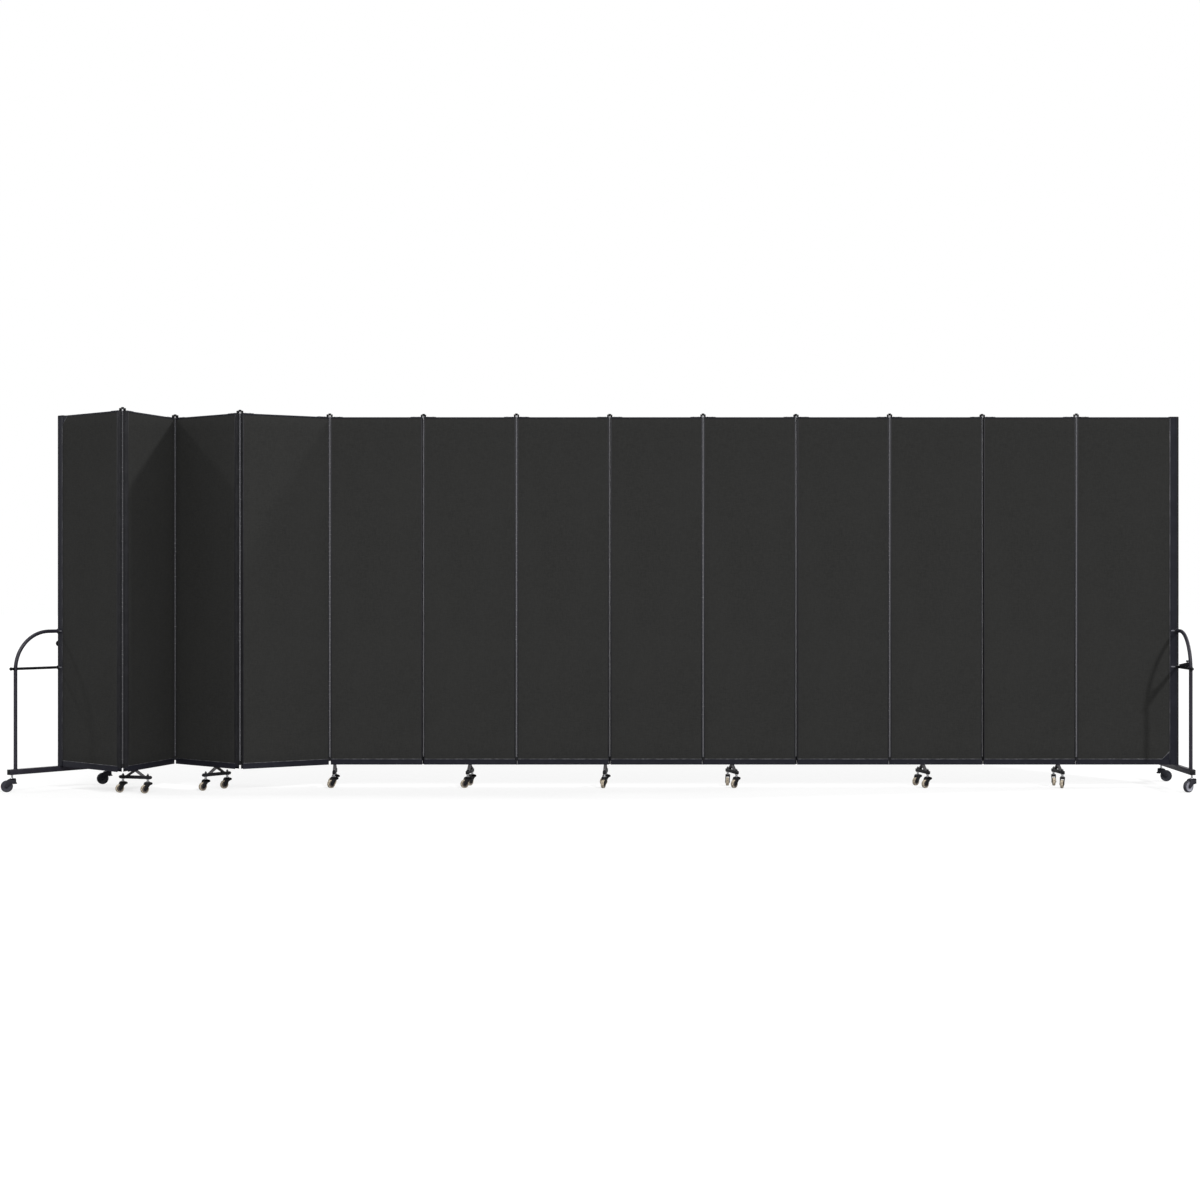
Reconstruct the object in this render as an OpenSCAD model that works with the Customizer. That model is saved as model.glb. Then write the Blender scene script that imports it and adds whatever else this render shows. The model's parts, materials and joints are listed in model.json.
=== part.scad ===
// Accordion folding partition on casters: thirteen fabric-faced panels hinged
// edge to edge, an arched end frame on each outer post, and a small caster foot
// under eight of the panels. The floor is Z = 0, +X runs along the partition and
// -Y is its front. The origin is on the floor under the middle of the whole run.

/* [Panels] */
// Distance along a panel from one hinge axis to the next
panel_pitch = 565; // [540:5:620]
// Height of a panel from its bottom rail to its top rail
panel_h = 2104; // [1700:4:2400]
// Thickness of a panel
panel_t = 32; // [28:1:36]
// Height of the panels' underside above the floor
panel_z = 134; // [134:1:150]
// Height of the bottom rail's face
bottom_rail_h = 33; // [20:1:50]
// Height of the top rail's face
top_rail_h = 8; // [5:1:30]

/* [Rest pose] */
// Heading of the first panel, seen from above
heading_1 = -42; // [-60:1:-20]
// Heading of the second panel
heading_2 = 73; // [30:1:75]
// Heading of the third panel
heading_3 = -40; // [-60:1:-20]
// Heading of the fourth panel
heading_4 = 32; // [10:1:45]

/* [Hinges] */
// Radius of the hinge barrel
barrel_r = 5; // [4:0.5:5]
// Radius of the hinge pin
pin_r = 2; // [1.5:0.25:2.5]
// Number of knuckles on one hinge
knuckles = 11; // [7:2:15]
// Height of the hinge barrel's end above the top rail
barrel_rise = 16; // [10:1:25]

/* [Feet] */
// Width and height of a foot's cross bar
foot_bar = 19; // [16:1:22]
// Distance between the two casters of a foot
foot_spacing = 164; // [150:2:180]
// Height of the struts between a foot's cross bar and its panel
strut_h = 32; // [26:1:32]

/* [Foot casters] */
// Radius of a foot caster's wheel
small_wheel_r = 25; // [22:0.5:25]
// Width of a foot caster's wheel
small_wheel_w = 18; // [14:1:18]
// Distance from a foot caster's stem to its axle, seen from above
small_trail = 20; // [18:1:22]

/* [End frames] */
// Width of the post on the outer edge of each end panel
post_w = 57; // [57:1:70]
// Distance from the end panel's outer edge to the middle of the end frame
frame_offset = 44; // [42:1:44]
// Distance from the post to each leg, seen from above
leg_reach = 310; // [300:5:325]
// Height of the middle of the arch's top
arch_z = 945; // [945:5:1100]
// Bend radius of the arch
bend_r = 225; // [150:5:230]
// Radius of the arch's tube
tube_r = 11; // [9:0.5:12]
// Length of the base bar
base_l = 714; // [700:2:760]
// Width and height of the base bar
base_w = 32; // [28:1:34]
// Height of the crossbar
crossbar_z = 727; // [500:1:735]
// Radius of the crossbar
crossbar_r = 8; // [6:0.5:9]

/* [End casters] */
// Radius of an end caster's wheel
big_wheel_r = 35; // [32:0.5:35]
// Width of an end caster's wheel
big_wheel_w = 22; // [18:1:22]
// Distance from an end caster's stem to its axle, seen from above
big_trail = 30; // [28:1:32]

/* [Hidden] */
panel_count = 13;
angled_panels = 4;
// Gap between the faces of two panels folded together
face_gap = 1;
// Gap between a hinge barrel and the edge of the panel beside it
edge_gap = 0.5;
edge = barrel_r + edge_gap;
// Radial clearance of a pin, stem or axle in its bore
running = 0.05;
// Radial clearance of a fixed rod in its hole
loose = 0.3;
// How far shapes of one piece run into each other
overlap = 0.5;
panel_top = panel_z + panel_h;
// How far the fabric lies behind the faces of the rails
fabric_inset = 0.8;
// Distance of a hinge axis from the middle plane of its panels
axis_y0 = (panel_t + face_gap) / 2;
// Start of the hinge barrel above the panel's underside, and the gap between knuckles
barrel_start = 22;
knuckle_gap = 0.6;

// How far an end post's faces stand proud of the panel, and the left post's stud
// towards a wall
post_proud = 1;
stud_z = 870;
stud_h = 18;

// How far an end caster's stem stands out past the leg above it
stem_past_leg = 23;
stem_reach = leg_reach + stem_past_leg;

// Storage latch: its pivot from the end frame's middle, its pin and its thickness
latch_y = 31 - leg_reach;
latch_z = crossbar_z + 24;
latch_pin_r = 3;
latch_t = 8;

// Stems and axles of the casters, the depth of an end frame's holes for the stems, and
// the pivot of the brake pedal from the stem
small_stem_r = 4;
small_axle_r = 3;
big_stem_r = 5.5;
stem_hole = 20;
big_axle_r = 4;
pedal_x = -12;
pedal_z = 60;
pedal_pin_r = 2.5;

// Each foot: its panel, its place along the panel from the left hinge, how far its
// bar is turned off square, and the way its front and rear casters trail
feet = [
    [2, 0.21, 0, 218, 212],
    [3, 0.656, 0, 222, 218],
    [5, 0.05, 4, 220, 200],
    [6, 0.5, -6, 205, 232],
    [7, 0.953, -4, 250, 218],
    [9, 0.313, 15, 226, 261],
    [11, 0.359, 12, 215, 222],
    [12, 0.81, 6, 250, 262]
];
// Each end caster: its frame (0 left, 1 right), the side it is on (-1 front, 1 rear)
// and the way it trails
end_casters = [[0, -1, 186], [0, 1, 206], [1, -1, 212], [1, 1, -12]];

function two(n) = str(n < 10 ? "0" : "", n);
function panel_name(i) = str("panel_", two(i));
function fork_name(n) = str("foot_caster_fork_", two(n));
function wheel_name(n) = str("foot_caster_wheel_", two(n));
function end_fork_name(n) = str("end_caster_fork_", n);
function end_wheel_name(n) = str("end_caster_wheel_", n);
function pedal_name(n) = str("brake_pedal_", n);

$fn = 48;

// Where things stand, seen from above

function turned(v, a) = [v.x * cos(a) - v.y * sin(a), v.x * sin(a) + v.y * cos(a)];
function heading(i) = i > angled_panels ? 0 : [heading_1, heading_2, heading_3, heading_4][i - 1];
// Hinge k joins panel k to the next; odd hinges are on the back, even ones on the front
function axis_y(k) = (k % 2 == 1 ? 1 : -1) * axis_y0;
// The point of a panel's middle plane beside its left hinge, from the straight run's start
function raw_start(i) =
    i > angled_panels
        ? [(i - angled_panels - 1) * panel_pitch, 0]
        : raw_start(i + 1)
            + turned([0, axis_y(i)], heading(i + 1))
            - turned([panel_pitch, axis_y(i)], heading(i));

left_bar_end = raw_start(1) + turned([-frame_offset - base_w / 2, -base_l / 2], heading_1);
right_end_x = raw_start(panel_count).x + panel_pitch + frame_offset + base_w / 2;
front_corner = raw_start(1) + turned([panel_pitch - edge, -panel_t / 2], heading_1);
middle = [(left_bar_end.x + right_end_x) / 2, (front_corner.y + base_l / 2) / 2];

function start(i) = raw_start(i) - middle;
function frame_turn(f) = f == 0 ? heading_1 : heading(panel_count);
function frame_middle(f) =
    f == 0
        ? start(1) + turned([-frame_offset, 0], heading_1)
        : start(panel_count) + turned([panel_pitch + frame_offset, 0], heading(panel_count));
function foot_turn(f) = heading(feet[f][0]) + feet[f][2];
function foot_middle(f) = start(feet[f][0]) + turned([feet[f][1] * panel_pitch, 0], heading(feet[f][0]));
// Foot caster n: odd numbers stand at the front end of their foot
function foot_of(n) = floor((n - 1) / 2);
function caster_side(n) = n % 2 == 1 ? -1 : 1;
function caster_point(n) =
    foot_middle(foot_of(n)) + turned([0, caster_side(n) * foot_spacing / 2], foot_turn(foot_of(n)));
function caster_heading(n) = feet[foot_of(n)][n % 2 == 1 ? 3 : 4];
function end_caster_point(n) =
    frame_middle(end_casters[n - 1][0])
        + turned([0, end_casters[n - 1][1] * stem_reach], frame_turn(end_casters[n - 1][0]));

module stand_at(point, heading) {
    translate([point.x, point.y, 0])
        rotate(heading)
            children();
}

// Extrudes an outline drawn in Y and Z, centred on X = 0
module across_x(width) {
    rotate([90, 0, 90])
        linear_extrude(width, center = true)
            children();
}

// Extrudes an outline drawn in X and Z from one Y to another
module along_y(from_y, to_y) {
    translate([0, to_y, 0])
        rotate([90, 0, 0])
            linear_extrude(to_y - from_y)
                children();
}

// Panels

// Fabric-faced board between its top and bottom rails, from one X to another
module board(from_x, to_x) {
    width = to_x - from_x;
    skin_t = panel_t - 2 * fabric_inset;
    translate([from_x, -skin_t / 2, panel_z])
        cube([width, skin_t, panel_h]);
    translate([from_x, -panel_t / 2, panel_z])
        cube([width, panel_t, bottom_rail_h]);
    translate([from_x, -panel_t / 2, panel_top - top_rail_h])
        cube([width, panel_t, top_rail_h]);
}

// One half of a hinge with its axis at the origin and its panel towards +X. The panel's
// body lies on the side of the axis that body_side gives.
module hinge_half(first, body_side) {
    barrel_z = panel_z + barrel_start;
    step = (panel_top - barrel_z) / knuckles;
    knuckle_h = step - knuckle_gap;
    web_t = 3;
    // Gap between the web and the plane through the hinge axis
    web_gap = 1;
    web_y = body_side > 0 ? web_gap : -web_gap - web_t;
    for (k = [first:2:knuckles - 1])
        translate([0, 0, barrel_z + k * step + knuckle_gap / 2]) {
            cylinder(r = barrel_r, h = knuckle_h);
            translate([barrel_r / 2, web_y, 0])
                cube([edge + overlap - barrel_r / 2, web_t, knuckle_h]);
        }
    hinge_bracket(body_side);
}

// Plate on the top rail with a lug that stands beside the hinge barrel
module hinge_bracket(body_side) {
    plate_l = 70;
    plate_w = 24;
    plate_t = 2.5;
    lug_t = 10;
    lug_w = 13;
    lug_h = barrel_rise + 1;
    // Gap between the lug and the plane through the hinge axis
    lug_gap = 0.8;
    translate([edge + overlap, body_side * axis_y0 - plate_w / 2, panel_top])
        cube([plate_l, plate_w, plate_t]);
    translate([edge + overlap, body_side > 0 ? lug_gap : -lug_gap - lug_w, panel_top])
        cube([lug_t, lug_w, lug_h]);
}

// Sleeve on a pin's lower end, which closes the gap between two bottom rails in line
module pin_sleeve() {
    translate([0, 0, panel_z])
        cylinder(r = barrel_r, h = barrel_start + knuckle_gap / 2 + overlap);
}

// The pin, the raised end of the barrel and the cap on it
module hinge_pin() {
    cap_r = 9;
    rim_h = 3;
    dome_h = 2;
    cap_z = panel_top + barrel_rise + 1.5;
    pin_z = panel_z + barrel_start + knuckle_gap / 2;
    translate([0, 0, pin_z])
        cylinder(r = pin_r, h = cap_z - pin_z);
    translate([0, 0, panel_top - 1])
        cylinder(r = barrel_r, h = cap_z - panel_top + 1);
    translate([0, 0, cap_z])
        cylinder(r = cap_r, h = rim_h);
    translate([0, 0, cap_z + rim_h])
        cylinder(r1 = cap_r, r2 = cap_r - 3, h = dome_h);
}

module left_hinge(k) {
    translate([0, axis_y(k), 0])
        hinge_half(1, axis_y(k) > 0 ? -1 : 1);
}

module right_hinge(k) {
    translate([panel_pitch, axis_y(k), 0])
        mirror([1, 0, 0]) {
            hinge_half(0, axis_y(k) > 0 ? -1 : 1);
            hinge_pin();
            if (k > angled_panels)
                pin_sleeve();
        }
}

// Post on the outer edge of an end panel, outwards along +X, with its round outer
// corners, the lip that holds the fabric, a shallow groove and a cap on top
module end_post() {
    half_t = panel_t / 2 + post_proud;
    corner_r = 10;
    lip_w = 9;
    lip_t = 1.2;
    groove_x = 12;
    groove_w = 24;
    groove_end = 30;
    cap_t = 3;
    difference() {
        translate([0, 0, panel_z])
            linear_extrude(panel_h)
                post_outline(half_t, corner_r);
        for (way = [-1, 1])
            translate([groove_x, way * half_t - 1, panel_z + groove_end])
                cube([groove_w, 2, panel_h - 2 * groove_end]);
        translate([frame_offset, 0, arch_z])
            rotate([90, 0, 0])
                cylinder(r = tube_r + loose, h = 3 * half_t, center = true);
        translate([frame_offset, 0, crossbar_z])
            rotate([90, 0, 0])
                cylinder(r = crossbar_r + loose, h = 3 * half_t, center = true);
    }
    translate([0, -half_t - lip_t, panel_z])
        cube([lip_w, 2 * (half_t + lip_t), panel_h]);
    translate([0, 0, panel_top])
        linear_extrude(cap_t)
            post_outline(half_t, corner_r);
}

// Rubber buffer on the left post's outer edge
module buffer_stud() {
    neck_r = 12;
    head_r = 17;
    head_t = 10;
    dome_t = 4;
    translate([post_w - 1, 0, stud_z])
        rotate([0, 90, 0])
            cylinder(r = neck_r, h = stud_h - head_t + 1 + overlap);
    translate([post_w + stud_h - head_t, 0, stud_z])
        rotate([0, 90, 0]) {
            cylinder(r = head_r, h = head_t - dome_t);
            translate([0, 0, head_t - dome_t])
                cylinder(r1 = head_r, r2 = neck_r, h = dome_t);
        }
}

module post_outline(half_t, corner_r) {
    translate([0, -half_t])
        square([post_w - corner_r, 2 * half_t]);
    translate([0, corner_r - half_t])
        square([post_w, 2 * (half_t - corner_r)]);
    for (way = [-1, 1])
        translate([post_w - corner_r, way * (half_t - corner_r)])
            circle(r = corner_r);
}

// Corner plate in the angle between a post and a rail, its corner at the origin,
// legs along -X and +Z
module gusset() {
    leg = 46;
    along_y(-panel_t / 2, panel_t / 2)
        polygon([[0, 0], [-leg, 0], [0, leg]]);
}

// Foot bar on its two sloping struts, under the middle of its place on the panel
module foot() {
    bar_top = panel_z - strut_h;
    bar_end = 18;
    bar_l = foot_spacing + 2 * bar_end;
    strut_spread = 58;
    strut_t = 18;
    strut_top = 13;
    window_z = panel_z - 8;
    translate([-foot_bar / 2, -bar_l / 2, bar_top - foot_bar])
        cube([foot_bar, bar_l, foot_bar]);
    for (way = [-1, 1])
        translate([0, way * bar_l / 2, bar_top - foot_bar / 2])
            sphere(r = foot_bar / 2 - 0.5);
    across_x(foot_bar)
        difference() {
            polygon([
                [-strut_spread, bar_top - 1], [-strut_spread, bar_top],
                [-strut_top, panel_z - 1], [-strut_top, panel_z + 2],
                [strut_top, panel_z + 2], [strut_top, panel_z - 1],
                [strut_spread, bar_top], [strut_spread, bar_top - 1]
            ]);
            polygon([
                [strut_t - strut_spread, bar_top],
                [0, window_z],
                [strut_spread - strut_t, bar_top]
            ]);
        }
}

module foot_bores() {
    for (way = [-1, 1])
        translate([0, way * foot_spacing / 2, panel_z - strut_h - foot_bar - 1])
            cylinder(r = small_stem_r + running, h = foot_bar + 2);
}

module panel(i) {
    first = i == 1;
    last = i == panel_count;
    from_x = first ? 0 : edge;
    to_x = last ? panel_pitch : panel_pitch - edge;
    color("#323231")
        stand_at(start(i), heading(i))
            difference() {
                union() {
                    board(from_x, to_x);
                    if (!first)
                        left_hinge(i - 1);
                    if (!last)
                        right_hinge(i);
                    if (first)
                        mirror([1, 0, 0]) {
                            end_post();
                            buffer_stud();
                        }
                    if (first)
                        translate([0, 0, panel_top - top_rail_h])
                            rotate([0, 180, 0])
                                gusset();
                    if (last)
                        translate([panel_pitch, 0, 0])
                            end_post();
                    if (last)
                        translate([panel_pitch, 0, panel_z + bottom_rail_h])
                            gusset();
                    for (f = feet)
                        if (f[0] == i)
                            stand_at([f[1] * panel_pitch, 0], f[2])
                                foot();
                }
                if (!first)
                    translate([0, axis_y(i - 1), panel_z])
                        cylinder(r = pin_r + running, h = panel_h + 1);
                for (f = feet)
                    if (f[0] == i)
                        stand_at([f[1] * panel_pitch, 0], f[2])
                            foot_bores();
            }
}

// End frames, drawn in the plane X = 0 with the post's middle at Y = 0

module quarter_bend() {
    translate([0, leg_reach - bend_r, arch_z - bend_r])
        rotate([90, 0, 90])
            rotate_extrude(angle = 90)
                translate([bend_r, 0])
                    circle(r = tube_r);
}

module arch() {
    leg_h = arch_z - bend_r - panel_z;
    sunk = 2;
    for (way = [0, 1])
        mirror([0, way, 0]) {
            translate([0, leg_reach, panel_z - sunk])
                cylinder(r = tube_r, h = leg_h + sunk);
            quarter_bend();
        }
    translate([0, 0, arch_z])
        rotate([90, 0, 0])
            cylinder(r = tube_r, h = 2 * (leg_reach - bend_r), center = true);
}

module base_bar() {
    cap = 2;
    bar_l = base_l - 2 * cap;
    translate([-base_w / 2, -bar_l / 2, panel_z - base_w])
        cube([base_w, bar_l, base_w]);
    for (way = [-1, 1])
        translate([0, way * (bar_l + cap) / 2, panel_z - base_w / 2])
            cube([base_w - 1, cap, base_w - 1], center = true);
}

module crossbar() {
    rod_end = 30;
    rod_l = 2 * (leg_reach + rod_end);
    translate([0, 0, crossbar_z])
        rotate([90, 0, 0])
            cylinder(r = crossbar_r, h = rod_l, center = true);
    for (way = [-1, 1])
        translate([0, way * rod_l / 2, crossbar_z])
            sphere(r = crossbar_r + 2);
}

// Collars that hold the arch and the crossbar tight against the post
module collar(z, bore_r) {
    collar_t = 6;
    wall = 3;
    post_face = panel_t / 2 + post_proud + loose;
    for (way = [-1, 1])
        translate([0, way * (post_face + collar_t / 2), z])
            rotate([90, 0, 0])
                cylinder(r = bore_r + wall, h = collar_t, center = true);
}

module end_frame() {
    difference() {
        union() {
            arch();
            base_bar();
            crossbar();
            collar(arch_z, tube_r);
            collar(crossbar_z, crossbar_r);
        }
        for (way = [-1, 1])
            translate([0, way * stem_reach, panel_z - base_w - 1])
                cylinder(r = big_stem_r + running, h = stem_hole + 1);
    }
}

module end_frame_left() {
    color("#27272e")
        stand_at(frame_middle(0), frame_turn(0))
            end_frame();
}

module end_frame_right() {
    color("#27272e")
        stand_at(frame_middle(1), frame_turn(1)) {
            end_frame();
            latch_bracket();
        }
}

// Storage latch: a lever above the crossbar that pivots in a bracket on the front leg

module latch_bracket() {
    ear_t = 3;
    ear_r = 9;
    side_gap = 0.5;
    for (way = [-1, 1])
        translate([way * (latch_t / 2 + ear_t / 2 + side_gap), 0, 0])
            across_x(ear_t) {
                translate([-leg_reach, latch_z - ear_r])
                    square([latch_y + leg_reach, 2 * ear_r]);
                translate([latch_y, latch_z])
                    circle(r = ear_r);
            }
    translate([0, latch_y, latch_z])
        rotate([0, 90, 0])
            cylinder(r = latch_pin_r, h = latch_t + 2 * (ear_t + side_gap), center = true);
}

module storage_latch() {
    hub_r = 14;
    tip_y = latch_y + 205;
    knob_y = latch_y + 38;
    knob_z = latch_z + 14;
    knob_r = 9;
    color("#8a8a90")
        stand_at(frame_middle(1), frame_turn(1))
            difference() {
                union() {
                    across_x(latch_t) {
                        translate([latch_y, latch_z])
                            circle(r = hub_r);
                        polygon([
                            [latch_y, latch_z + hub_r], [knob_y + 16, latch_z + 9],
                            [tip_y - 8, latch_z - 6], [tip_y, latch_z - 9],
                            [tip_y, latch_z - 14], [latch_y, latch_z - hub_r]
                        ]);
                    }
                    translate([0, knob_y, latch_z])
                        cylinder(r = latch_t / 2, h = knob_z - latch_z + overlap);
                    translate([0, knob_y, knob_z])
                        cylinder(r = knob_r, h = 10);
                }
                translate([0, latch_y, latch_z])
                    rotate([0, 90, 0])
                        cylinder(r = latch_pin_r + running, h = latch_t + 2, center = true);
            }
}

// Casters, each with its stem on the Z axis and trailing along +X

// A wheel about the Y axis with bevelled shoulders round its tread
module wheel(wheel_r, width, bore_r, bevel) {
    half_w = width / 2;
    rotate([90, 0, 0])
        rotate_extrude($fn = 64)
            polygon([
                [bore_r, -half_w], [wheel_r - bevel, -half_w], [wheel_r, bevel - half_w],
                [wheel_r, half_w - bevel], [wheel_r - bevel, half_w], [bore_r, half_w]
            ]);
}

// The side outline of a foot caster's hood, in X and Z
module small_hood_outline() {
    polygon([
        [small_trail - 1, 62], [small_trail - 10, 67], [-8, 67], [-24, 61], [-24, 52], [-8, 46],
        [small_trail - 9, 19], [small_trail, 15.5], [small_trail + 8, 20], [small_trail + 9, 30]
    ]);
}

module small_fork() {
    cheek_t = 3;
    cheek_in = small_wheel_w / 2 + 1;
    cheek_out = cheek_in + cheek_t;
    bar_top = panel_z - strut_h;
    bar_bottom = bar_top - foot_bar;
    // Free height between the caster's shoulder or nut and the bar
    end_play = 0.4;
    roof_gap = 3;
    stem_z = 60;
    shoulder = 2.5;
    stem_end = 13;
    nut_r = 7.5;
    nut_h = 7;
    for (from_y = [-cheek_out, cheek_in])
        along_y(from_y, from_y + cheek_t)
            small_hood_outline();
    along_y(-cheek_out, cheek_out)
        intersection() {
            small_hood_outline();
            translate([-2 * small_wheel_r, 2 * small_wheel_r + roof_gap])
                square(4 * small_wheel_r);
        }
    translate([small_trail, 0, small_wheel_r])
        rotate([90, 0, 0])
            cylinder(r = small_axle_r, h = 2 * cheek_out + cheek_t, center = true);
    translate([0, 0, stem_z])
        cylinder(r = small_stem_r + shoulder, h = bar_bottom - end_play - stem_z);
    translate([0, 0, stem_z])
        cylinder(r = small_stem_r, h = bar_top + stem_end - stem_z);
    translate([0, 0, bar_top + end_play])
        cylinder(r = nut_r, h = nut_h, $fn = 6);
}

module foot_caster_fork(n) {
    color("#1b1b1d")
        stand_at(caster_point(n), caster_heading(n))
            small_fork();
}

module foot_caster_wheel(n) {
    color("#c9bfa8")
        stand_at(caster_point(n), caster_heading(n))
            translate([small_trail, 0, small_wheel_r])
                wheel(small_wheel_r, small_wheel_w, small_axle_r + running, 4);
}

// The side outline of an end caster's fork, in X and Z
module big_fork_outline() {
    polygon([
        [big_trail - 6, 75], [big_trail - 14, 79], [-8, 82], [-21, 79], [-22, 54], [-5, 52],
        [big_trail - 10, 29], [big_trail, 25], [big_trail + 9, 31], [big_trail + 10, 42]
    ]);
}

module big_fork() {
    cheek_t = 3.5;
    cheek_in = big_wheel_w / 2 + 1.5;
    cheek_out = cheek_in + cheek_t;
    stem_z = 76;
    shoulder = 3;
    shoulder_h = 9;
    // Free height between the stem's end and the bottom of its hole
    end_play = 1.4;
    roof_gap = 2.5;
    for (from_y = [-cheek_out, cheek_in])
        along_y(from_y, from_y + cheek_t)
            big_fork_outline();
    along_y(-cheek_out, cheek_out)
        intersection() {
            big_fork_outline();
            translate([-2 * big_wheel_r, 2 * big_wheel_r + roof_gap])
                square(4 * big_wheel_r);
        }
    translate([big_trail, 0, big_wheel_r])
        rotate([90, 0, 0])
            cylinder(r = big_axle_r, h = 2 * cheek_out + 4, center = true);
    translate([pedal_x, 0, pedal_z])
        rotate([90, 0, 0])
            cylinder(r = pedal_pin_r, h = 2 * cheek_out + 2, center = true);
    translate([0, 0, stem_z])
        cylinder(r = big_stem_r + shoulder, h = shoulder_h);
    translate([0, 0, stem_z])
        cylinder(r = big_stem_r, h = panel_z - base_w + stem_hole - end_play - stem_z);
}

module end_caster_fork(n) {
    color("#222226")
        stand_at(end_caster_point(n), end_casters[n - 1][2])
            big_fork();
}

module end_caster_wheel(n) {
    color("#4a4a50")
        stand_at(end_caster_point(n), end_casters[n - 1][2])
            translate([big_trail, 0, big_wheel_r])
                wheel(big_wheel_r, big_wheel_w, big_axle_r + running, 5);
}

// Brake pedal on its pin between the fork's cheeks: a short lip to step on, in front of
// the wheel, and a nose that turns towards the tread
module brake_pedal(n) {
    pedal_w = big_wheel_w;
    hub_r = 7;
    color("#1b1b1d")
        stand_at(end_caster_point(n), end_casters[n - 1][2])
            difference() {
                along_y(-pedal_w / 2, pedal_w / 2) {
                    translate([pedal_x, pedal_z])
                        circle(r = hub_r);
                    polygon([
                        [pedal_x - hub_r, pedal_z], [-23.5, 57.5], [-27.5, 54.5], [-28, 51],
                        [-26.5, 48.5], [-18.5, 49.5], [-12, 46.5], [-8.5, 47.5],
                        [pedal_x + hub_r - 1, pedal_z - 4]
                    ]);
                }
                translate([pedal_x, 0, pedal_z])
                    rotate([90, 0, 0])
                        cylinder(r = pedal_pin_r + running, h = pedal_w + 2, center = true);
            }
}

for (i = [1:panel_count])
    panel(i);
end_frame_left();
end_frame_right();
storage_latch();
for (n = [1:len(end_casters)]) {
    end_caster_fork(n);
    end_caster_wheel(n);
    brake_pedal(n);
}
for (n = [1:2 * len(feet)]) {
    foot_caster_fork(n);
    foot_caster_wheel(n);
}
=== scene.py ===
# Accordion folding partition: thirteen fabric-faced panels hinged edge to edge, an arched
# frame on casters at each end and small caster feet between them. Metres, +Z up, front at -Y.
import json
import math

import bmesh
import bpy
from mathutils import Matrix, Vector

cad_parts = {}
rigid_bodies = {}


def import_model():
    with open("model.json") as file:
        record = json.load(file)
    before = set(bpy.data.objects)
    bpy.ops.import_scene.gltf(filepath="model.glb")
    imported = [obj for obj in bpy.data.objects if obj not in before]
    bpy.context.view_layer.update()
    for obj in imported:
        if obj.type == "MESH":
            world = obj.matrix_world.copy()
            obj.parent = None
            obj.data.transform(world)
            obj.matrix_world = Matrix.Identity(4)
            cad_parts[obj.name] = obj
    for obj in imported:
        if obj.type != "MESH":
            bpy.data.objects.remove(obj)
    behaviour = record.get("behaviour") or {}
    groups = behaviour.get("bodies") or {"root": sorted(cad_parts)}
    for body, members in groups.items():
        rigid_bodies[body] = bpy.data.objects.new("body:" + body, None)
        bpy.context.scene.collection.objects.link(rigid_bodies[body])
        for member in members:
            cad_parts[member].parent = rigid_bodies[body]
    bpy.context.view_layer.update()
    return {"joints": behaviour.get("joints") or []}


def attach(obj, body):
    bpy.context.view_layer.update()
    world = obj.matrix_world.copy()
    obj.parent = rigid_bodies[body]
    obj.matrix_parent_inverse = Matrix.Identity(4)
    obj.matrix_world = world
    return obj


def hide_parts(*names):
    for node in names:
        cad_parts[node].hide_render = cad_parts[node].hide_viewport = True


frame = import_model()
joints = {j["name"]: j for j in frame["joints"]}


# ---------------------------------------------------------------- panel faces
# Woven charcoal polyester, stretched over both sides of a board and tucked in behind the
# edge trim. The yarns are about 1.5 mm apart, flecked, with a soft dull surface.

PANELS, ANGLED = 13, 4         # how many there are, and how many stand at an angle
PITCH = 0.565         # along a panel, from hinge axis to hinge axis
EDGE_GAP = 0.0055     # from a hinge's axis to the panel's edge
HINGE_Y = 0.0165      # from a panel's middle plane to a hinge's axis
FACE_Y = 0.0152       # from the middle plane to the cloth
PANEL_LOW, PANEL_TOP = 0.134, 2.238
RAIL_TOP, TOP_RAIL_LOW = 0.167, 2.230
TRIM_W = 0.003
TUCK, ROLL = 0.0015, 0.002     # how far the cloth goes in under the trim, and curls back
HEADINGS = [-42, 73, -40, 32] + [0] * (PANELS - ANGLED)
SHARP_EDGE = math.radians(32)


class Socket:
    """One end of a shader link. Sums of sockets and numbers add their Math nodes."""

    def __init__(self, finish, end):
        self.finish, self.end = finish, end

    def sum(self, operation, *values):
        return self.finish.node("Math", {"operation": operation}, dict(enumerate(values)))

    def __add__(self, other):
        return self.sum("ADD", self, other)

    def __rsub__(self, other):
        return self.sum("SUBTRACT", other, self)

    def __mul__(self, other):
        return self.sum("MULTIPLY", self, other)

    def __abs__(self):
        return self.sum("ABSOLUTE", self)

    def sine(self):
        return self.sum("SINE", self)

    def between(self, low, high):
        """0 below low, 1 above high, and a smooth step between them."""
        return self.finish.node(
            "MapRange", {"interpolation_type": "SMOOTHSTEP"},
            {"Value": self, "From Min": low, "From Max": high})


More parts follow.
